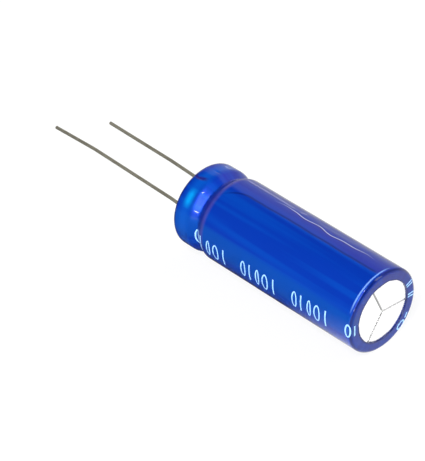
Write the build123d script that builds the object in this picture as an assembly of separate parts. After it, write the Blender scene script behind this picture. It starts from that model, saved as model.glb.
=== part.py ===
from build123d import *
import math
import os

# A radial-lead supercapacitor, lying on its side: +X runs along the can's axis from the seating
# plane to the closed end, the leads leave towards -X, and +Z is up. Millimetres and degrees.

# Overall sizes
body_length = 35.2       # seating plane to the closed end, film included
can_diameter = 12.5      # bare aluminium
lead_pitch = 5.0         # between the two leads' centres
lead_turn = 20.0         # the leads' plane, turned about the axis from level
long_lead_reach = 29.9   # seating plane to the tip of the positive lead
short_lead_reach = 22.9  # seating plane to the tip of the negative lead

# Shrunk film
film = 0.15              # wall of the film after shrinking
shrink_gap = 0.02        # film to can
end_lip = 1.70           # film turned in over the closed end
seat_lip = 1.47          # film turned in over the rim at the lead end

# Drawn can
can_wall = 0.30
end_bend = 0.10          # inside radius between the side and the closed end
rim_bend = 0.50          # inside radius between the side and the rim
curl_bend = 0.15         # inside radius where the rim turns into the bung
rim_width = 1.85         # can's side to the inner face of the curl
curl_depth = 1.00        # rim face to the curl's cut edge
groove_centre = 4.60     # seating plane to the bottom of the crimp groove
groove_half_width = 1.35
groove_depth = 0.80
groove_bend = 0.60       # outside radius at the bottom of the groove
shoulder_bend = 1.00     # inside radius at the two lips of the groove

# Vent score in the closed end
score_arms = 3
score_width = 0.28
score_depth = 0.12
score_hidden = 0.23      # end of each arm under the film's lip
score_turn = -4.0        # first arm, from +Y towards +Z

# Rubber bung
bung_fit = 0.02          # bung to can and to the curl
bung_behind = 1.20       # bung beyond the groove
bung_edge = 0.25         # rounding of the bung's outer edges

# Lead wires. Each runs in straight stretches towards its tip: where a stretch ends, and how much
# it rises for each millimetre of reach
wire_diameter = 0.50
straight_out = 0.50      # wire square to the seating plane before it leans
long_elbow = 4.5
long_first_rise = 0.084
long_kink = 21.2
long_middle_rise = 0.020
long_tip_rise = -0.040
short_elbow = 9.5
short_first_rise = 0.053
short_tip_rise = 0.011
wire_bend = 8.0          # radius of the wire's bends

# Terminals: a round stem through the bung, pressed flat inside the winding
stem_diameter = 1.50
stem_fit = 0.01          # stem to bung
stem_tip = 0.40          # stem standing out of the bung's face
stem_taper = 0.30        # bevel round the weld
stem_behind = 0.50       # round stem beyond the bung
flatten_length = 1.40    # from round to flat
tab_width = 2.20
tab_thickness = 0.35
tab_depth = 18.0         # flat length held in the winding
tab_fit = 0.03           # tab to winding

# Winding: two electrodes and two separators rolled together
winding_gap = 0.30       # winding and its tape to the can's side
winding_seat = 0.05      # winding to the can's closed end
flat_showing = 0.20      # flattened tab between its neck and the winding
mandrel_radius = 0.90    # hollow left by the winding pin
tape = 0.06              # thickness of the closing tape
tape_fit = 0.01          # tape to winding
tape_margin = 1.50       # winding left bare at each end of the tape

# Derived sizes
can_radius = can_diameter / 2
skin = shrink_gap + film
rim_x = skin
end_x = body_length - skin
window_radius = can_radius + skin - end_lip
score_reach = window_radius + score_hidden
seat_lip_radius = can_radius + skin - seat_lip
curl_radius = can_radius - rim_width
curl_edge_x = rim_x + curl_depth
bung_face_x = curl_edge_x + bung_fit
bung_back_x = groove_centre + groove_half_width + bung_behind
weld_x = bung_face_x - stem_tip
neck_x = bung_back_x + stem_behind
flat_x = neck_x + flatten_length
winding_x = flat_x + flat_showing
winding_end_x = end_x - can_wall - winding_seat
winding_radius = can_radius - can_wall - winding_gap - tape - tape_fit
pin_y = lead_pitch / 2 * math.cos(math.radians(lead_turn))
pin_z = lead_pitch / 2 * math.sin(math.radians(lead_turn))

# The can's outer line in half section, as x and radius, from the closed end to the curl's edge,
# with the radius of each bend. Every wall that follows the can is parallel to this line.
side_line = [
    (end_x, can_radius),
    (groove_centre + groove_half_width, can_radius),
    (groove_centre, can_radius - groove_depth),
    (groove_centre - groove_half_width, can_radius),
    (rim_x, can_radius),
]
side_bends = [
    end_bend + can_wall,
    shoulder_bend + can_wall,
    groove_bend,
    shoulder_bend + can_wall,
    rim_bend + can_wall,
]


def parallel(corners, bends, distance):
    """The line through the corners, moved outwards by the distance with its bends concentric."""
    points = [Vector(x, radius) for x, radius in corners]
    ways = [(after - before).normalized() for before, after in zip(points, points[1:])]
    normals = [Vector(way.Y, -way.X) for way in ways]
    moved = [points[0] + normals[0] * distance]
    radii = []
    for corner, before, after, bend in zip(points[1:], normals, normals[1:], bends):
        moved.append(corner + (before + after) * (distance / (1 + before.dot(after))))
        outward = before.cross(after).Z > 0
        radii.append(bend + distance if outward else bend - distance)
    moved.append(points[-1] + normals[-1] * distance)
    return FilletPolyline(*moved, radius=radii)


def turned(outer, inner):
    """A wall between two lines in half section, turned about the X axis."""
    joins = [Line(outer @ 1, inner @ 1), Line(inner @ 0, outer @ 0)]
    return revolve(make_face(outer.edges() + inner.edges() + joins), Axis.X)


def make_sleeve():
    corners = [(end_x, window_radius)] + side_line + [(rim_x, seat_lip_radius)]
    return turned(parallel(corners, side_bends, skin), parallel(corners, side_bends, shrink_gap))


def make_can():
    corners = [(end_x, 0)] + side_line + [(rim_x, curl_radius), (curl_edge_x, curl_radius)]
    bends = side_bends + [curl_bend + can_wall]
    can = turned(parallel(corners, bends, 0), parallel(corners, bends, -can_wall))
    for arm in range(score_arms):
        cut = Pos(end_x, score_reach / 2, 0) * Box(2 * score_depth, score_reach, score_width)
        can -= Rot(X=score_turn + arm * 360 / score_arms) * cut
    return can


def make_bung():
    corners = [(bung_back_x, 0), (bung_back_x, can_radius)]
    corners += side_line[1:4] + [(bung_face_x, can_radius), (bung_face_x, 0)]
    inset = can_wall + bung_fit
    edge = bung_edge + inset
    line = parallel(corners, [edge] + side_bends[1:4] + [edge], -inset)
    face = make_face(line.edges() + [Line(line @ 1, line @ 0)])
    bung = revolve(face, Axis.X)
    hole_length = bung_back_x - bung_face_x + 2
    hole = Cylinder(stem_diameter / 2 + stem_fit, hole_length, rotation=(0, 90, 0))
    middle = (bung_back_x + bung_face_x) / 2
    for side in (-1, 1):
        bung -= Pos(middle, side * pin_y, side * pin_z) * hole
    return bung


def make_wire(side, stretches):
    y, z, reach = side * pin_y, side * pin_z, straight_out
    points = [(weld_x, y, z), (-reach, y, z)]
    for end, rise in stretches:
        z += rise * (end - reach)
        reach = end
        points.append((-reach, y, z))
    path = FilletPolyline(*points, radius=wire_bend)
    return sweep(Plane(points[0], z_dir=(-1, 0, 0)) * Circle(wire_diameter / 2), path=path)


def make_long_lead():
    return make_wire(-1, [
        (long_elbow, long_first_rise),
        (long_kink, long_middle_rise),
        (long_lead_reach, long_tip_rise),
    ])


def make_short_lead():
    return make_wire(1, [
        (short_elbow, short_first_rise),
        (short_lead_reach, short_tip_rise),
    ])


def make_terminal(side):
    """Stem and tab on the axis, then moved out to the pitch; side is -1 for the positive one."""
    tab_end_x = winding_x + tab_depth
    stem = Cylinder(stem_diameter / 2, neck_x - weld_x, rotation=(0, 90, 0))
    stem = Pos((neck_x + weld_x) / 2, 0, 0) * stem
    stem = chamfer(stem.edges().sort_by(Axis.X)[0], stem_taper)
    round_end = Plane((neck_x, 0, 0), x_dir=(0, 0, 1), z_dir=(1, 0, 0)) * Circle(stem_diameter / 2)
    flat_end = Plane((flat_x, 0, 0), x_dir=(0, 0, 1), z_dir=(1, 0, 0)) * Rectangle(tab_width, tab_thickness)
    tab = Pos((flat_x + tab_end_x) / 2, 0, 0) * Box(tab_end_x - flat_x, tab_thickness, tab_width)
    terminal = stem + loft([round_end.face(), flat_end.face()]) + tab
    return Rot(X=lead_turn) * Pos(0, side * lead_pitch / 2, 0) * terminal


def make_winding():
    length = winding_end_x - winding_x
    winding = Cylinder(winding_radius, length) - Cylinder(mandrel_radius, length)
    winding = Pos((winding_x + winding_end_x) / 2, 0, 0) * Rot(Y=90) * winding
    slot_depth = tab_depth + tab_fit
    slot = Box(2 * slot_depth, tab_thickness + 2 * tab_fit, tab_width + 2 * tab_fit)
    for side in (-1, 1):
        winding -= Rot(X=lead_turn) * Pos(winding_x, side * lead_pitch / 2, 0) * slot
    return winding


def make_closing_tape():
    length = winding_end_x - winding_x - 2 * tape_margin
    inside = winding_radius + tape_fit
    band = Cylinder(inside + tape, length) - Cylinder(inside, length)
    return Pos((winding_x + winding_end_x) / 2, 0, 0) * Rot(Y=90) * band


pieces = {
    "sleeve": make_sleeve(),
    "can": make_can(),
    "rubber_bung": make_bung(),
    "long_lead": make_long_lead(),
    "short_lead": make_short_lead(),
    "positive_terminal": make_terminal(-1),
    "negative_terminal": make_terminal(1),
    "winding": make_winding(),
    "closing_tape": make_closing_tape(),
}

os.makedirs("parts", exist_ok=True)
for name, piece in pieces.items():
    export_step(piece, f"parts/{name}.step")
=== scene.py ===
import math
import bpy
from mathutils import Matrix, Vector, noise


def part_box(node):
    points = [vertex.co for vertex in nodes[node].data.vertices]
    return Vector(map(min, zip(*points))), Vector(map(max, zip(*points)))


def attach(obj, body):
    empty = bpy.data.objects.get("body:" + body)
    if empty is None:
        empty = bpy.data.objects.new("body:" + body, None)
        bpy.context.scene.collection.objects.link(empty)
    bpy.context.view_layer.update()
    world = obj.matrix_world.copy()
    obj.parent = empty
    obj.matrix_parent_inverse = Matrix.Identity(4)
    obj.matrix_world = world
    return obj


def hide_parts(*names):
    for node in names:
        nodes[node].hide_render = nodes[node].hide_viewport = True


mm = 0.001
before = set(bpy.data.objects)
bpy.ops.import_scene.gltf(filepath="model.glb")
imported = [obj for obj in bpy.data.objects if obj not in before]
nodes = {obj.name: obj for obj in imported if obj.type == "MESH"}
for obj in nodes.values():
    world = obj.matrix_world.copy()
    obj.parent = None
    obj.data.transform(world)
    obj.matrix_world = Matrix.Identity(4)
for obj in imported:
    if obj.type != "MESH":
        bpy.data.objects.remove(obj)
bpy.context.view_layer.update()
filmLow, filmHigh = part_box("sleeve")
bodyRadius = filmHigh.y
bodyEnd = filmHigh.x
print("frame loaded:", len(nodes), "nodes")


def clearSelection():
    if bpy.context.mode != "OBJECT":
        bpy.ops.object.mode_set(mode="OBJECT")
    bpy.ops.object.select_all(action="DESELECT")


def pickOnly(piece):
    clearSelection()
    piece.select_set(True)
    bpy.context.view_layer.objects.active = piece


def namePiece(name):
    piece = bpy.context.object
    piece.name = name
    piece.data.name = name
    return piece


def settle(piece):
    pickOnly(piece)
    bpy.ops.object.transform_apply(location=True, rotation=True, scale=True)


def applyModifier(piece, kind, **settings):
    pickOnly(piece)
    modifier = piece.modifiers.new(kind.title(), kind)
    for key, value in settings.items():
        setattr(modifier, key, value)
    bpy.ops.object.modifier_apply(modifier=modifier.name)


def smooth(piece, angle):
    pickOnly(piece)
    bpy.ops.object.shade_smooth_by_angle(angle=math.radians(angle))


def faceOut(piece):
    pickOnly(piece)
    bpy.ops.object.mode_set(mode="EDIT")
    bpy.ops.mesh.select_all(action="SELECT")
    bpy.ops.mesh.remove_doubles(threshold=1e-7)
    bpy.ops.mesh.normals_make_consistent(inside=False)
    bpy.ops.object.mode_set(mode="OBJECT")


# a half section's corners joined by runs and round bends, cut into short steps
def roundedLine(corners, bends, turnStep, runStep):
    points = [Vector(corner) for corner in corners]
    line = [points[0]]
    for before, corner, after, bend in zip(points, points[1:], points[2:], bends):
        wayIn = (corner - before).normalized()
        wayOut = (after - corner).normalized()
        turn = math.acos(max(-1, min(1, wayIn.dot(wayOut))))
        side = 1 if wayIn.x * wayOut.y - wayIn.y * wayOut.x > 0 else -1
        start = corner - wayIn * bend * math.tan(turn / 2)
        centre = start + Vector((-wayIn.y, wayIn.x)) * side * bend
        spoke = start - centre
        steps = max(2, round(math.degrees(turn) / turnStep))
        for step in range(steps + 1):
            angle = side * turn * step / steps
            line.append(centre + Vector((spoke.x * math.cos(angle) - spoke.y * math.sin(angle),
                                         spoke.x * math.sin(angle) + spoke.y * math.cos(angle))))
    line.append(points[-1])
    filled = [line[0]]
    for point in line[1:]:
        start = filled[-1]
        parts = max(1, math.ceil((point - start).length / runStep))
        for part in range(1, parts + 1):
            filled.append(start.lerp(point, part / parts))
    return [(point.x, point.y) for point in filled]


# a circle extruded ring by ring along a half section, about the can's axis
def turnedShell(name, line, segments):
    clearSelection()
    bpy.ops.mesh.primitive_circle_add(
        vertices=segments, radius=line[0][1], location=(line[0][0], 0, 0), rotation=(0, math.pi / 2, 0))
    piece = namePiece(name)
    settle(piece)
    bpy.ops.object.mode_set(mode="EDIT")
    bpy.ops.mesh.select_all(action="SELECT")
    for (x, radius), (nextX, nextRadius) in zip(line, line[1:]):
        bpy.ops.mesh.extrude_edges_move(TRANSFORM_OT_translate={"value": (nextX - x, 0, 0)})
        growth = nextRadius / radius
        bpy.ops.transform.resize(value=(1, growth, growth), center_override=(nextX, 0, 0))
    bpy.ops.object.mode_set(mode="OBJECT")
    return piece


camera = {"azimuth": 46.5, "elevation": 36.2, "distance": 0.3363, "lens": 182.8, "sensor": 36,
          "near": 0.01, "aim": (0.00260, -0.00080, -0.00333)}


def addCamera():
    azimuth = math.radians(camera["azimuth"])
    elevation = math.radians(camera["elevation"])
    back = Vector((math.sin(azimuth) * math.cos(elevation),
                   -math.cos(azimuth) * math.cos(elevation), math.sin(elevation)))
    clearSelection()
    bpy.ops.object.camera_add(location=Vector(camera["aim"]) + back * camera["distance"],
                              rotation=(math.pi / 2 - elevation, 0, azimuth))
    view = bpy.context.object
    view.name = "viewCamera"
    view.data.lens = camera["lens"]
    view.data.sensor_width = camera["sensor"]
    view.data.clip_start = camera["near"]
    bpy.context.scene.camera = view
    bpy.context.scene.view_settings.view_transform = "Standard"


# materials

# inputs are values, or sockets to link
def addNode(tree, kind, inputs=None, **settings):
    node = tree.nodes.new(kind)
    for key, value in settings.items():
        setattr(node, key, value)
    for key, value in (inputs or {}).items():
        if isinstance(value, bpy.types.NodeSocket):
            tree.links.new(value, node.inputs[key])
        else:
            node.inputs[key].default_value = value
    return node


class Finish:
    def __init__(self, name, **sockets):
        self.material = bpy.data.materials.new(name)
        self.material.use_nodes = True
        self.tree = self.material.node_tree
        self.shader = self.tree.nodes["Principled BSDF"]
        for key, value in sockets.items():
            self.shader.inputs[key.replace("_", " ")].default_value = value

    def add(self, kind, inputs=None, **settings):
        return addNode(self.tree, kind, inputs, **settings)

    def drive(self, socket, value):
        self.tree.links.new(value, self.shader.inputs[socket])

    def axes(self):
        spot = self.add("ShaderNodeTexCoord")
        parts = self.add("ShaderNodeSeparateXYZ", {"Vector": spot.outputs["Object"]})
        return parts.outputs["X"], parts.outputs["Y"], parts.outputs["Z"]

    def place(self, scale=(1, 1, 1), turn=(0, 0, 0)):
        spot = self.add("ShaderNodeTexCoord")
        mapping = self.add("ShaderNodeMapping", {"Vector": spot.outputs["Object"], "Scale": scale,
                                                 "Rotation": turn})
        return mapping.outputs["Vector"]

    def noise(self, vector, detail):
        found = self.add("ShaderNodeTexNoise", {"Vector": vector, "Scale": 1, "Detail": detail})
        return found.outputs["Fac"]

    # noise with so many waves a metre on each axis
    def grain(self, scale, detail):
        return self.noise(self.place(scale), detail)

    # a colour laid over what is there, by a share; inputs 6 and 7 are a mix's two colours
    def cover(self, share, under, colour):
        mix = self.add("ShaderNodeMix", {0: share, 6: under, 7: (*colour, 1)}, data_type="RGBA")
        return mix.outputs[2]

    def blend(self, share, first, second):
        return self.cover(share, (*first, 1), second)

    # from low at start to high at end, and level beyond both
    def between(self, value, low, high, start=0, end=1):
        spread = self.add("ShaderNodeMapRange", {"Value": value, "From Min": start, "From Max": end,
                                                 "To Min": low, "To Max": high})
        return spread.outputs["Result"]

    def maths(self, operation, first, second=None):
        inputs = {0: first} if second is None else {0: first, 1: second}
        return self.add("ShaderNodeMath", inputs, operation=operation).outputs[0]

    def product(self, first, *others):
        for other in others:
            first = self.maths("MULTIPLY", first, other)
        return first

    def away(self, value, middle):
        return self.maths("ABSOLUTE", self.maths("SUBTRACT", value, middle))

    # as strong as most from middle to flat either side, gone at the edge
    def band(self, value, middle, flat, edge, most=1):
        return self.between(self.away(value, middle), most, 0, flat, edge)

    # degrees from -180..180 to 0..360
    def wrapped(self, degrees):
        return self.maths("ADD", degrees, self.product(self.maths("LESS_THAN", degrees, 0), 360))

    def relief(self, height, strength, distance):
        bump = self.add("ShaderNodeBump", {"Height": height, "Strength": strength, "Distance": distance})
        self.drive("Normal", bump.outputs["Normal"])


def paint(piece, finish):
    piece.data.materials.clear()
    piece.data.materials.append(finish.material)


# the film's shades, in mm along the can from its lead end, in degrees round it from +Y over the top
# and in mm out from its axis. Four numbers are a shade's middle, how far from it the shade is full,
# how far off it is gone, and its strength, which is 1 where it is left out. Two numbers are where a
# fade starts and ends
film = {
    "deep": (0.0001, 0.024, 0.285), "deepShift": (0.0001, 0.029, 0.32),
    "shiftScale": (60, 200, 200), "shiftDetail": 3,
    "metallic": 0.25, "roughness": 0.38, "specular": 0.1, "coat": 1.0, "coatIor": 1.33,
    "coatRoughness": 0.02, "grain": (900, 900, 900), "grainDetail": 2, "relief": (0.03, 0.00002),
    # violet, plum and navy are the colours of the painted reflection and painted shade below
    "violet": (0.03, 0.012, 0.17), "plum": (0.014, 0.008, 0.14), "navy": (0.0001, 0.006, 0.085),
    # painted sheen: lighter streaks drawn out along the can, where their noise is above start
    "sheenStreaks": {"shade": (0.0001, 0.044, 0.35), "along": 0.025, "round": 0.085, "detail": 1,
                "strength": 0.9, "start": 0.45, "full": 0.62},
    # painted reflection of the wall in violet over the top, and a painted lighter reflection in a thin band
    # along the side
    "topReflection": (68, 24, 29, 0.30),
    "side": {"shade": (0.0001, 0.050, 0.32), "round": (176, 13, 19)},
    # painted highlights on the bead: a lighter ring all round it and a cyan glint patch on its top
    "bead": {"shade": (0.0002, 0.075, 0.43), "along": (2.2, 0.3, 1.3, 0.7),
             "glint": (0.0003, 0.25, 0.64), "glintAlong": (2.2, 0.1, 0.8), "glintRound": (139, 5, 15)},
    # painted shade at both rims, the far shoulder and the lip's inner edge, and a painted highlight along the
    # far shoulder
    "leadRim": {"strength": 0.8, "along": (0.25, 0.8)},
    "endRim": {"strength": 0.45, "along": (34.75, 35.0), "glint": (0.22, 0.42, 0.90),
               "glintAlong": (34.55, 0.03, 0.17, 0.75), "glintRound": (116, 26, 42),
               "shoulder": (34.98, 0.06, 0.2, 0.8), "shoulderOut": (5.9, 6.0),
               "edgeStrength": 0.9, "edgeOut": (4.80, 5.0), "edgeAlong": (34.7, 34.9)},
    # a painted highlight line along a wrinkle, with a painted shadow beside it
    "wrinkleLightAndShade": {"shade": (0.40, 0.45, 0.66), "round": 78, "sway": 13, "swayPace": 150, "swayDetail": 1,
                "highlightLine": (0, 0.2, 1.2, 0.9), "shadow": (1.6, 0.3, 1.6, 0.7),
                "start": (13, 17), "end": (28, 32)},
    # a painted reflection in lilac on the groove's wall, and painted shade in its throat
    "groove": {"lilac": (0.075, 0.06, 0.27), "wall": (5.95, 0.15, 0.6, 0.5),
               "throat": (5.25, 0.2, 0.8, 0.60)},
    # painted shade of a short fold across the bead, bowed by so many degrees a mm
    "fold": {"round": (111, 1.0, 4, 0.85), "bow": 2.6, "bowMiddle": 1.2, "end": (2.2, 3.0)},
    # a long soft painted dark reflection line over the top, along the edge of the wall's reflection, which
    # drops down the side near the groove
    "darkReflectionLine": {"shade": (0.0003, 0.012, 0.15), "round": 95.5, "flat": 0.3, "width": 2.7, "sway": 2.2,
               "swayPace": 130, "swayDetail": 2, "drop": 24, "dropAlong": (5.6, 10.5),
               "strength": 0.9, "start": (6.0, 8.0), "end": (33.6, 34.6)}}


# how many degrees a line strays to either side as it runs along the can
def strayed(skin, line):
    found = skin.grain((line["swayPace"], 0, 0), line["swayDetail"])
    return skin.product(skin.maths("SUBTRACT", found, 0.5), line["sway"] * 2)


# the film's blue with random tone, under painted sheen streaks, a painted reflection over the top and a
# painted lighter reflection along one side
def filmBody(skin, along, degrees):
    shift = skin.grain(film["shiftScale"], film["shiftDetail"])
    shade = skin.blend(shift, film["deep"], film["deepShift"])
    # lighter streaks of painted sheen
    sheenStreaks = film["sheenStreaks"]
    drawn = skin.add("ShaderNodeCombineXYZ", {"X": skin.product(along, sheenStreaks["along"]),
                                              "Y": skin.product(degrees, sheenStreaks["round"])})
    found = skin.noise(drawn.outputs["Vector"], sheenStreaks["detail"])
    share = skin.between(found, 0, sheenStreaks["strength"], sheenStreaks["start"], sheenStreaks["full"])
    shade = skin.cover(share, shade, sheenStreaks["shade"])
    # painted reflection over the top, then a painted lighter reflection along the side
    shade = skin.cover(skin.band(degrees, *film["topReflection"]), shade, film["violet"])
    return skin.cover(skin.band(skin.wrapped(degrees), *film["side"]["round"]), shade, film["side"]["shade"])


# painted highlights: a lighter ring round the bead and a glint patch on it
def paintBeadHighlights(skin, shade, along, degrees):
    bead = film["bead"]
    shade = skin.cover(skin.band(along, *bead["along"]), shade, bead["shade"])
    glint = skin.product(skin.band(along, *bead["glintAlong"]), skin.band(degrees, *bead["glintRound"]))
    return skin.cover(glint, shade, bead["glint"])


# painted shade round both rims, over the far shoulder and on the lip's inner edge, with a painted highlight
# on the far rim
def paintRimLightAndShade(skin, shade, along, degrees):
    lead, end = film["leadRim"], film["endRim"]
    shade = skin.cover(skin.between(along, lead["strength"], 0, *lead["along"]), shade, film["navy"])
    shade = skin.cover(skin.between(along, 0, end["strength"], *end["along"]), shade, film["navy"])
    glint = skin.product(skin.band(along, *end["glintAlong"]), skin.band(degrees, *end["glintRound"]))
    shade = skin.cover(glint, shade, end["glint"])
    across = skin.place((0, 1 / mm, 1 / mm))
    out = skin.add("ShaderNodeVectorMath", {0: across}, operation="LENGTH").outputs["Value"]
    shoulder = skin.product(skin.band(along, *end["shoulder"]), skin.between(out, 0, 1, *end["shoulderOut"]))
    shade = skin.cover(shoulder, shade, film["navy"])
    edge = skin.product(skin.between(out, end["edgeStrength"], 0, *end["edgeOut"]),
                        skin.between(along, 0, 1, *end["edgeAlong"]))
    return skin.cover(edge, shade, film["navy"])


# a painted highlight line along a wrinkle, with a painted shadow beside it
def paintWrinkleLightAndShade(skin, shade, along, degrees):
    wrinkleLightAndShade = film["wrinkleLightAndShade"]
    path = skin.maths("ADD", strayed(skin, wrinkleLightAndShade), wrinkleLightAndShade["round"])
    aside = skin.maths("SUBTRACT", degrees, path)
    stretch = skin.product(skin.between(along, 0, 1, *wrinkleLightAndShade["start"]),
                           skin.between(along, 1, 0, *wrinkleLightAndShade["end"]))
    for line, colour in ((wrinkleLightAndShade["shadow"], film["violet"]), (wrinkleLightAndShade["highlightLine"], wrinkleLightAndShade["shade"])):
        shade = skin.cover(skin.product(skin.band(aside, *line), stretch), shade, colour)
    return shade


# a painted reflection on the groove's wall and painted shade in its throat
def paintGrooveReflectionAndShade(skin, shade, along):
    groove = film["groove"]
    shade = skin.cover(skin.band(along, *groove["wall"]), shade, groove["lilac"])
    return skin.cover(skin.band(along, *groove["throat"]), shade, film["plum"])


# painted shade of a fold across the bead
def paintFoldShade(skin, shade, along, degrees):
    fold = film["fold"]
    bow = skin.product(skin.away(along, fold["bowMiddle"]), fold["bow"])
    line = skin.band(skin.maths("ADD", degrees, bow), *fold["round"])
    return skin.cover(skin.product(line, skin.between(along, 1, 0, *fold["end"])), shade, film["plum"])


# a painted dark reflection line along the edge of the wall's reflection
def paintDarkReflectionLine(skin, shade, along, degrees):
    darkReflectionLine = film["darkReflectionLine"]
    near = skin.between(along, 1, 0, *darkReflectionLine["dropAlong"])
    drop = skin.product(near, near, darkReflectionLine["drop"])
    path = skin.maths("ADD", skin.maths("ADD", strayed(skin, darkReflectionLine), drop), darkReflectionLine["round"])
    line = skin.product(skin.band(degrees, path, darkReflectionLine["flat"], darkReflectionLine["width"]),
                        skin.between(along, 0, darkReflectionLine["strength"], *darkReflectionLine["start"]),
                        skin.between(along, 1, 0, *darkReflectionLine["end"]))
    return skin.cover(line, shade, darkReflectionLine["shade"])


def filmFinish():
    skin = Finish("blueFilm", Metallic=film["metallic"], Roughness=film["roughness"],
                  Coat_Weight=film["coat"], Coat_Roughness=film["coatRoughness"],
                  Coat_IOR=film["coatIor"], Specular_IOR_Level=film["specular"])
    x, y, z = skin.axes()
    along = skin.product(x, 1 / mm)
    degrees = skin.product(skin.maths("ARCTAN2", z, y), 180 / math.pi)
    shade = filmBody(skin, along, degrees)
    shade = paintBeadHighlights(skin, shade, along, degrees)
    shade = paintRimLightAndShade(skin, shade, along, degrees)
    shade = paintWrinkleLightAndShade(skin, shade, along, degrees)
    shade = paintGrooveReflectionAndShade(skin, shade, along)
    shade = paintFoldShade(skin, shade, along, degrees)
    skin.drive("Base Color", paintDarkReflectionLine(skin, shade, along, degrees))
    skin.relief(skin.grain(film["grain"], film["grainDetail"]), *film["relief"])
    return skin


# bare metals, their grain drawn out along the can
metalDetail = 4
metals = {"drawnCan": {"metallic": 1.0, "grain": (300, 3000, 3000), "roughness": (0.20, 0.30),
                       "shades": ((0.97, 0.97, 0.97), (1.0, 1.0, 0.995))},
          "drawnAluminium": {"metallic": 1.0, "grain": (300, 3000, 3000), "roughness": (0.22, 0.36),
                             "shades": ((0.90, 0.90, 0.90), (0.96, 0.96, 0.955))},
          "tinnedWire": {"metallic": 0.65, "grain": (400, 2500, 2500), "roughness": (0.28, 0.42),
                         "shades": ((0.19, 0.18, 0.14), (0.33, 0.315, 0.25))}}


def metalFinish(name, paintedShade=None):
    look = metals[name]
    metal = Finish(name, Metallic=look["metallic"])
    grain = metal.grain(look["grain"], metalDetail)
    shade = metal.blend(grain, *look["shades"])
    metal.drive("Base Color", paintedShade(metal, shade) if paintedShade else shade)
    metal.drive("Roughness", metal.between(grain, *look["roughness"]))
    return metal


# the scored arms of the end's vent: degrees round the axis and how pale the painted shade in each arm's
# groove is, how far in from the body's end the metal is marked, and where an arm starts beside the axis
score = {"arms": {-4: 0.88, 116: 0.30, 236: 0.40}, "width": 0.15 * mm, "flat": 0.09 * mm,
         "belowEnd": (1.2 * mm, 1.0 * mm), "start": (-0.1 * mm, 0.05 * mm)}


def shadeScoreArms(metal, shade):
    x, y, z = metal.axes()
    lowest, highest = (bodyEnd - depth for depth in score["belowEnd"])
    onEnd = metal.between(x, 0, 1, lowest, highest)
    for arm, grey in score["arms"].items():
        armY, armZ = math.cos(math.radians(arm)), math.sin(math.radians(arm))
        outwards = metal.maths("ADD", metal.product(y, armY), metal.product(z, armZ))
        aside = metal.away(metal.product(y, armZ), metal.product(z, armY))
        # painted shade in the score's groove, paler or darker arm by arm
        cut = metal.product(metal.between(aside, 1, 0, score["flat"], score["width"]),
                            metal.between(outwards, 0, 1, *score["start"]), onEnd)
        shade = metal.cover(cut, shade, (grey, grey, grey))
    return shade


# dull finishes with a little grain
dulls = {"mouldedRubber": {"roughness": 0.7, "grain": (3000, 3000, 3000), "detail": 3,
                           "shades": ((0.012, 0.012, 0.012), (0.03, 0.03, 0.03)),
                           "relief": (0.3, 0.00003)},
         "closingTape": {"roughness": 0.4, "grain": (200, 900, 900), "detail": 2,
                         "shades": ((0.62, 0.42, 0.12), (0.72, 0.52, 0.18))},
         "paleBlueInk": {"roughness": 0.35, "grain": (1500, 1500, 1500), "detail": 2,
                         "shades": ((0.22, 0.46, 0.78), (0.32, 0.56, 0.86))}}


def dullFinish(name):
    look = dulls[name]
    dull = Finish(name, Roughness=look["roughness"])
    grain = dull.grain(look["grain"], look["detail"])
    dull.drive("Base Color", dull.blend(grain, *look["shades"]))
    if "relief" in look:
        dull.relief(grain, *look["relief"])
    return dull


foil = {"roughness": 0.6, "turns": 900, "shades": ((0.03, 0.03, 0.03), (0.7, 0.68, 0.6))}


def windingFinish():
    roll = Finish("rolledFoil", Roughness=foil["roughness"])
    turned = roll.place(turn=(0, math.pi / 2, 0))  # the rings' axis along the can
    rings = roll.add("ShaderNodeTexWave", {"Vector": turned, "Scale": foil["turns"]},
                     wave_type="RINGS", rings_direction="Z")
    roll.drive("Base Color", roll.blend(rings.outputs["Fac"], *foil["shades"]))
    return roll


# stage and lights

# sheets that are matte to the lamps, and steadily as bright as shown to the camera. share is how much
# of that the camera sees, mirrored is how bright they are in reflections, and each rise lifts that
# along an axis: which axis, to how bright, from where and to where
sheets = {"paleFloor": {"size": (6, 6), "at": (0, 0, filmLow.z), "upright": False,
                        "shown": 1.0, "share": 0.85, "mirrored": 0.07,
                        "rises": [(0, 1.1, 0.020, 0.036), (1, 0.58, 0.004, 0.016)]},
          "paleWall": {"size": (6, 1.8), "at": (0, 1.0, filmLow.z + 0.9), "upright": True,
                       "shown": 1.0, "share": 1.0, "mirrored": 0.52, "rises": []},
          # a low lit gap in the wall, which draws a thin line along the film
          "litGap": {"size": (0.07, 0.03), "at": (-0.69, 0.98, 0.03), "upright": True,
                     "shown": 5.0, "share": 1.0}}
sheetGrey = 0.8
room = {"shown": 1.0, "glow": 0.28, "mirrored": 0.015}  # to the camera, as light, in reflections


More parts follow.
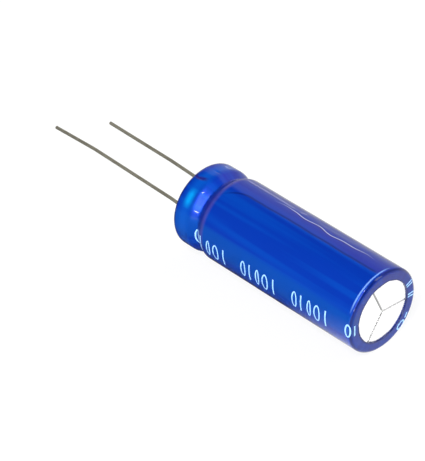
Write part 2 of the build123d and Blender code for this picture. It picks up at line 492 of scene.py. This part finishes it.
def sheetFinish(name, look):
    sheet = Finish(name)
    sheet.tree.nodes.clear()
    path = sheet.add("ShaderNodeLightPath").outputs
    glossy = path["Is Glossy Ray"]
    seen = sheet.maths("ADD", sheet.maths("ADD", path["Is Camera Ray"], glossy),
                       path["Is Transmission Ray"])
    shown, share = look["shown"], look["share"]
    if "mirrored" in look:
        axes = sheet.axes()
        mirrored = look["mirrored"]
        for axis, high, start, end in look["rises"]:
            risen = sheet.between(axes[axis], look["mirrored"], high, start, end)
            mirrored = sheet.maths("MAXIMUM", risen, mirrored)
        shown = sheet.add("ShaderNodeMix", {0: glossy, 2: shown, 3: mirrored}).outputs[0]
        share = sheet.between(glossy, share, 1)
    matte = sheet.add("ShaderNodeBsdfDiffuse", {"Color": (sheetGrey, sheetGrey, sheetGrey, 1)})
    bright = sheet.add("ShaderNodeEmission", {"Strength": shown})
    amount = sheet.product(sheet.maths("MINIMUM", seen, 1), share)
    mix = sheet.add("ShaderNodeMixShader", {0: amount, 1: matte.outputs[0], 2: bright.outputs[0]})
    sheet.add("ShaderNodeOutputMaterial", {0: mix.outputs[0]})
    return sheet


def addSheet(name):
    look = sheets[name]
    clearSelection()
    bpy.ops.mesh.primitive_plane_add(size=1, location=look["at"],
                                     rotation=(math.pi / 2 if look["upright"] else 0, 0, 0))
    piece = namePiece(name)
    piece.scale = (*look["size"], 1)
    settle(piece)
    paint(piece, sheetFinish(name, look))
    return piece


def addRoom():
    world = bpy.data.worlds.new("studio")
    world.use_nodes = True
    bpy.context.scene.world = world
    tree = world.node_tree
    path = addNode(tree, "ShaderNodeLightPath").outputs
    unseen = addNode(tree, "ShaderNodeMapRange", {"Value": path["Is Glossy Ray"], "To Min": room["glow"],
                                                  "To Max": room["mirrored"]})
    strength = addNode(tree, "ShaderNodeMix", {0: path["Is Camera Ray"], 2: unseen.outputs["Result"],
                                               3: room["shown"]})
    background = tree.nodes["Background"]
    tree.links.new(strength.outputs[0], background.inputs["Strength"])
    background.inputs["Color"].default_value = (1, 1, 1, 1)


def addStage():
    floor = addSheet("paleFloor")
    wall = addSheet("paleWall")
    strip = addSheet("litGap")
    addRoom()


# the softboxes light the part, and the panels are seen only as glints: one on the bead and the far
# shoulder, one over the top
lamps = {"keySoftbox": {"towards": (0.40, -0.76, 0.62), "distance": 0.9, "size": (0.26, 0.75),
                        "power": 15.0, "glints": False},
         "sidePanel": {"towards": (0.40, -0.76, 0.62), "distance": 0.9, "size": (0.20, 0.85),
                       "power": 21.0, "glints": True},
         "topPanel": {"towards": (0.66, 0.34, 0.66), "distance": 0.9, "size": (0.20, 0.75),
                      "power": 2.0, "glints": True},
         "backSoftbox": {"towards": (0.25, 0.70, 0.70), "distance": 0.9, "size": (0.7, 0.4),
                         "power": 7.0, "glints": False}}


def addLamps():
    for name, look in lamps.items():
        clearSelection()
        aim = Vector(look["towards"]).normalized()
        bpy.ops.object.light_add(type="AREA", location=aim * look["distance"])
        lamp = bpy.context.object
        lamp.name = name
        lamp.rotation_euler = aim.to_track_quat("Z", "Y").to_euler()
        lamp.data.shape = "RECTANGLE"
        lamp.data.size, lamp.data.size_y = look["size"]
        lamp.data.energy = look["power"]
        lamp.visible_glossy = look["glints"]
        lamp.visible_diffuse = not look["glints"]


# the shrunk film

sleeve = {"wall": 0.15 * mm, "endLip": 1.70 * mm, "seatLip": 1.47 * mm, "endBend": 0.57 * mm,
          "rimBend": 0.97 * mm, "grooveCentre": 4.60 * mm, "grooveHalfWidth": 1.35 * mm,
          "grooveDepth": 0.80 * mm, "grooveBend": 0.43 * mm, "shoulderBend": 1.47 * mm,
          "segments": 300, "turnStep": 9, "runStep": 0.35 * mm, "smoothAngle": 50,
          "waveSize": 6 * mm, "waveHeight": 0.05 * mm,
          "skin": 1.2 * mm,  # ripples and pinches move only what is this near the outside
          # softer film along the top: degrees round, how wide, from and to along the can
          "ripple": {"middle": 66, "spread": 9, "from": 11 * mm, "to": 33 * mm, "size": 5 * mm,
                     "height": 0.30 * mm},
          # degrees round, how wide, where along the can, how long, how deep
          "pinches": [(110, 3.2, 1.4 * mm, 1.1 * mm, -0.16 * mm), (88, 3.0, 2.6 * mm, 0.9 * mm, -0.10 * mm)],
          # the cut edge over the end wanders in and out
          "uneven": {"most": 0.10 * mm, "reach": 0.6 * mm, "depth": 0.2 * mm, "waves": 3,
                     "fineWaves": 9, "fineShare": 0.5}}


# 1 where distance is 0, easing to 0 at reach
def softStep(distance, reach):
    share = max(0, 1 - distance / reach)
    return share * share * (3 - 2 * share)


def weigh(piece, name, weight):
    group = piece.vertex_groups.new(name=name)
    for vertex in piece.data.vertices:
        degrees = math.degrees(math.atan2(vertex.co.z, vertex.co.y))
        amount = weight(degrees, vertex.co.x)
        if amount > 0 and math.hypot(vertex.co.y, vertex.co.z) > bodyRadius - sleeve["skin"]:
            group.add([vertex.index], amount, "REPLACE")


def pushOut(piece, cloudSize, height, group=""):
    clouds = bpy.data.textures.new("filmClouds", "CLOUDS")
    clouds.noise_scale = cloudSize
    applyModifier(piece, "DISPLACE", texture=clouds, texture_coords="LOCAL", strength=height,
                  mid_level=0.5, vertex_group=group)


def rippleFilm(piece):
    ripple = sleeve["ripple"]
    middle = (ripple["from"] + ripple["to"]) / 2
    half = (ripple["to"] - ripple["from"]) / 2
    weigh(piece, "ripple", lambda degrees, x: softStep(abs(degrees - ripple["middle"]), ripple["spread"])
          * softStep(abs(x - middle), half))
    pushOut(piece, ripple["size"], ripple["height"], "ripple")


def pinchFilm(piece):
    for number, (turned, spread, middle, length, depth) in enumerate(sleeve["pinches"]):
        weigh(piece, f"pinch{number}", lambda degrees, x: softStep(abs(degrees - turned), spread)
              * softStep(abs(x - middle), length))
        applyModifier(piece, "DISPLACE", strength=depth, mid_level=0, vertex_group=f"pinch{number}")


def unevenEdge(piece):
    uneven = sleeve["uneven"]
    edgeRadius = bodyRadius - sleeve["endLip"]
    for vertex in piece.data.vertices:
        out = Vector((0, vertex.co.y, vertex.co.z))
        near = max(0, 1 - (out.length - edgeRadius) / uneven["reach"])
        if vertex.co.x > bodyEnd - uneven["depth"] and near > 0:
            out.normalize()
            wave = noise.noise(out * uneven["waves"])
            wave += uneven["fineShare"] * noise.noise(out * uneven["fineWaves"])
            vertex.co += out * wave * near * uneven["most"]


def makeSleeve(finish):
    groove = sleeve["grooveCentre"]
    half = sleeve["grooveHalfWidth"]
    corners = [(bodyEnd, bodyRadius - sleeve["endLip"]), (bodyEnd, bodyRadius), (groove + half, bodyRadius),
               (groove, bodyRadius - sleeve["grooveDepth"]), (groove - half, bodyRadius), (0, bodyRadius),
               (0, bodyRadius - sleeve["seatLip"])]
    bends = [sleeve["endBend"], sleeve["shoulderBend"], sleeve["grooveBend"], sleeve["shoulderBend"],
             sleeve["rimBend"]]
    line = roundedLine(corners, bends, sleeve["turnStep"], sleeve["runStep"])
    piece = turnedShell("filmSleeve", line, sleeve["segments"])
    faceOut(piece)
    pushOut(piece, sleeve["waveSize"], sleeve["waveHeight"])
    rippleFilm(piece)
    pinchFilm(piece)
    unevenEdge(piece)
    applyModifier(piece, "SOLIDIFY", thickness=sleeve["wall"], offset=-1)
    smooth(piece, sleeve["smoothAngle"])
    paint(piece, finish)
    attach(piece, "root")
    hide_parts("sleeve")
    return piece


# marks printed on the film, in mm, and in degrees round the can and of tilt to its end
marks = {"height": 2.7, "stroke": 0.21, "thickness": 0.012, "lift": 0.004, "smoothAngle": 60,
         "ringSides": 56, "cellWidth": 0.3, "cellHeight": 0.15,
         "start": 2.0, "reach": 6.0,  # how far outside the film they start, and how far they can go in
         # a group's rings and bars: kind, middle along the can, width
         "group": [("ring", -3.0, 1.0), ("bar", -1.75, 0.231), ("ring", -0.2, 0.8), ("ring", 1.3, 1.2),
                   ("bar", 2.9, 0.231)],
         # where the groups' middles lie: along and round
         "nearMarks": [(7.7, 189.3), (17.6, 186.6), (27.6, 184.0)],
         "farMarks": [(7.7, 318.0), (17.6, 318.0), (27.6, 318.0)],
         # cut short by the end: kind, width, height, x, degrees, tilt, radius
         "endMarks": [("ring", 0.95, 2.2, 34.65, 181.5, 30, 6.3), ("bar", 0.24, 1.7, 35.2, 183, 90, 5.55),
                      ("ring", 1.0, 1.7, 35.2, 311, 90, 5.65), ("bar", 0.2, 0.8, 35.2, 327, 90, 5.6)]}


def addRing(width, height):
    bpy.ops.mesh.primitive_circle_add(vertices=marks["ringSides"], radius=0.5)
    piece = namePiece("mark")
    piece.scale = (width, height, 1)
    settle(piece)
    bpy.ops.object.mode_set(mode="EDIT")
    bpy.ops.mesh.select_all(action="SELECT")
    bpy.ops.mesh.extrude_edges_move()
    stroke = marks["stroke"] * mm
    bpy.ops.transform.resize(value=(1 - 2 * stroke / width, 1 - 2 * stroke / height, 1))
    bpy.ops.mesh.select_all(action="SELECT")
    bpy.ops.mesh.normals_make_consistent(inside=False)
    bpy.ops.object.mode_set(mode="OBJECT")
    if piece.data.polygons[0].normal.z < 0:
        bpy.ops.object.mode_set(mode="EDIT")
        bpy.ops.mesh.select_all(action="SELECT")
        bpy.ops.mesh.flip_normals()
        bpy.ops.object.mode_set(mode="OBJECT")
    return piece


def addBar(width, height):
    bpy.ops.mesh.primitive_grid_add(x_subdivisions=max(2, round(width / (marks["cellWidth"] * mm))),
                                    y_subdivisions=max(2, round(height / (marks["cellHeight"] * mm))), size=1)
    piece = namePiece("mark")
    piece.scale = (width, height, 1)
    return piece


def addMark(kind, width, height, x=0):
    clearSelection()
    piece = (addRing if kind == "ring" else addBar)(width * mm, height * mm)
    piece.location = (x * mm, 0, 0)
    settle(piece)
    return piece


# flat marks joined and laid on the film from outside, looking in at an angle round the can and at a
# tilt towards its end
def layOn(pieces, name, base, finish, x, degrees, tilt=0, radius=bodyRadius / mm):
    clearSelection()
    for piece in pieces:
        piece.select_set(True)
    bpy.context.view_layer.objects.active = pieces[0]
    if len(pieces) > 1:
        bpy.ops.object.join()
    piece = namePiece(name)
    turn = math.radians(degrees)
    lean = math.radians(tilt)
    spot = Vector((x, radius * math.cos(turn), radius * math.sin(turn)))
    out = Vector((math.sin(lean), math.cos(lean) * math.cos(turn), math.cos(lean) * math.sin(turn)))
    piece.matrix_world = (Matrix.Translation((spot + out * marks["start"]) * mm)
                          @ Matrix.Rotation(turn - math.pi / 2, 4, "X") @ Matrix.Rotation(lean, 4, "Y"))
    applyModifier(piece, "SHRINKWRAP", target=base, wrap_method="PROJECT", use_project_z=True,
                  use_negative_direction=True, use_positive_direction=False,
                  project_limit=marks["reach"] * mm, wrap_mode="ABOVE_SURFACE", offset=marks["lift"] * mm)
    applyModifier(piece, "SOLIDIFY", thickness=marks["thickness"] * mm, offset=1)
    settle(piece)
    smooth(piece, marks["smoothAngle"])
    paint(piece, finish)
    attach(piece, "root")
    return piece


def addLettering(base, finish):
    for name in ("nearMarks", "farMarks"):
        for number, (x, degrees) in enumerate(marks[name]):
            pieces = [addMark(kind, width, marks["height"], middle) for kind, middle, width in marks["group"]]
            layOn(pieces, f"{name}{number + 1}", base, finish, x, degrees)
    for number, (kind, width, height, x, degrees, tilt, radius) in enumerate(marks["endMarks"]):
        layOn([addMark(kind, width, height)], f"endMark{number + 1}", base, finish, x, degrees, tilt, radius)


# two bands, each a pair of lines along the can and in over its end, and dashes midway between them
bands = {"round": [23, 1], "half": 2.4, "from": 6.6, "to": 34.3, "line": 0.2,
         # name, length, x, tilt, radius
         "overEnd": [("bandTurn", 1.2, 34.95, 45, 6.2), ("bandEnd", 1.1, 35.2, 90, 5.45)],
         "dash": 1.2, "dashWidth": 0.28, "dashEvery": 3.1, "dashMargin": 1.0}


def addBands(base, finish):
    middle = (bands["from"] + bands["to"]) / 2
    runs = [("bandLine", bands["to"] - bands["from"], middle, 0, bodyRadius / mm)] + bands["overEnd"]
    for number, band in enumerate(bands["round"]):
        for side, letter in ((-1, "a"), (1, "b")):
            degrees = band + side * bands["half"]
            for run, length, x, tilt, radius in runs:
                layOn([addMark("bar", length, bands["line"])], f"{run}{number + 1}{letter}", base, finish,
                      x, degrees, tilt, radius)
    dashes = []
    x = bands["from"] + bands["dashEvery"] / 2
    while x < bands["to"] - bands["dashMargin"]:
        dashes.append(addMark("bar", bands["dash"], bands["dashWidth"], x - middle))
        x += bands["dashEvery"]
    layOn(dashes, "bandDashes", base, finish, middle, sum(bands["round"]) / 2)


addCamera()
addStage()
addLamps()
print("stage ready")
filmSleeve = makeSleeve(filmFinish())
print("sleeve:", len(filmSleeve.data.polygons), "faces")
ink = dullFinish("paleBlueInk")
addLettering(filmSleeve, ink)
addBands(filmSleeve, ink)
print("marks laid on the film")
wire = metalFinish("tinnedWire")
aluminium = metalFinish("drawnAluminium")
finishes = {"can": metalFinish("drawnCan", shadeScoreArms), "long_lead": wire, "short_lead": wire,
            "positive_terminal": aluminium, "negative_terminal": aluminium,
            "rubber_bung": dullFinish("mouldedRubber"), "winding": windingFinish(),
            "closing_tape": dullFinish("closingTape")}
for name, finish in finishes.items():
    paint(nodes[name], finish)
print("finishes on", len(finishes), "nodes")
